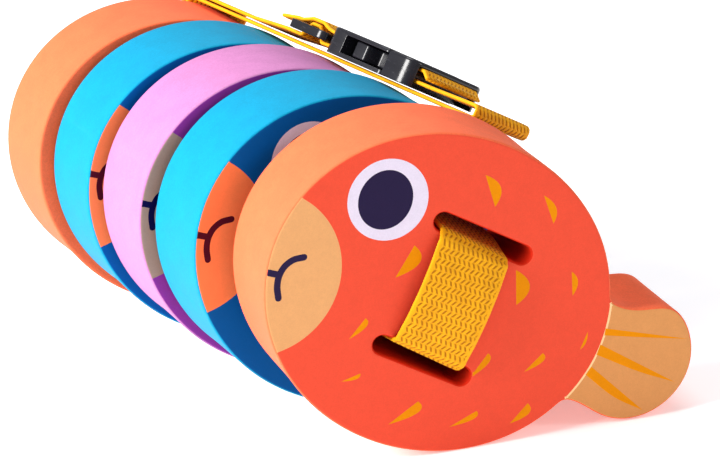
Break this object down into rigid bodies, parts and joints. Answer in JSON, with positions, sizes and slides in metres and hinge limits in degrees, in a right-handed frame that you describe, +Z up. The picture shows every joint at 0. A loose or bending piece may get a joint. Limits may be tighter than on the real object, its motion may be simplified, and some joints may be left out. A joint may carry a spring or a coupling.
{
  "type": "multi-layer belt float",
  "caption": "Swimming back float: a stack of fish-shaped foam floats threaded on a webbing belt with a side-release buckle and a slider.",
  "frame": {"origin": "on the floor, under the middle of the whole part's box", "axes": "+Z up, +Y from the first float's face towards the back of the stack, +X towards the tail fins"},
  "size_m": [0.1598, 0.2074, 0.1086],
  "materials": {
    "foam_orange": "matt foam with a printed face",
    "foam_blue": "matt foam with a printed face",
    "foam_pink": "matt foam with a printed face",
    "webbing": "woven herringbone webbing",
    "buckle_black": "moulded, glossy"
  },
  "bodies": {
    "belt": {"belt_front_loop": "webbing", "belt_inner_run": "webbing", "belt_outer_run": "webbing", "belt_plug_span": "webbing", "buckle_socket": "buckle_black", "tri_glide": "buckle_black"},
    "plug": {"buckle_plug": "buckle_black", "belt_plug_loop": "webbing"},
    "prong_left": {"buckle_prong_left": "buckle_black"},
    "prong_right": {"buckle_prong_right": "buckle_black"},
    "float_1_body": {"float_1": "foam_orange"},
    "float_2_body": {"float_2": "foam_blue"},
    "float_3_body": {"float_3": "foam_pink"},
    "float_4_body": {"float_4": "foam_blue"},
    "float_5_body": {"float_5": "foam_orange"}
  },
  "joints": [
    {"name": "float_1_slide", "type": "slide", "parent": "belt", "child": "float_1_body", "axis": [0.1132, 0.9936, 0], "range_m": [0, 0.003]},
    {"name": "float_2_slide", "type": "slide", "parent": "belt", "child": "float_2_body", "axis": [0, 1, 0], "range_m": [-0.003, 0.0012]},
    {"name": "float_3_slide", "type": "slide", "parent": "belt", "child": "float_3_body", "axis": [0, 1, 0], "range_m": [-0.0012, 0.0012]},
    {"name": "float_4_slide", "type": "slide", "parent": "belt", "child": "float_4_body", "axis": [0, 1, 0], "range_m": [-0.0012, 0.0012]},
    {"name": "float_5_slide", "type": "slide", "parent": "belt", "child": "float_5_body", "axis": [0, 1, 0], "range_m": [-0.0012, 0]},
    {"name": "plug_slide", "type": "slide", "parent": "belt", "child": "plug", "axis": [0.1957, -0.9793, -0.0519], "range_m": [0, 0.018], "deforming": ["belt_plug_span"]},
    {"name": "prong_left_flex", "type": "hinge", "parent": "plug", "child": "prong_left", "pos_m": [0.02011, -0.01426, 0.09981], "axis": [0.4993, 0.0539, 0.8648], "range_deg": [-7, 0], "stiffness_Nm_per_rad": 0.02},
    {"name": "prong_right_flex", "type": "hinge", "parent": "plug", "child": "prong_right", "pos_m": [0.03581, -0.01063, 0.09052], "axis": [0.4993, 0.0539, 0.8648], "range_deg": [0, 7], "stiffness_Nm_per_rad": 0.02}
  ]
}
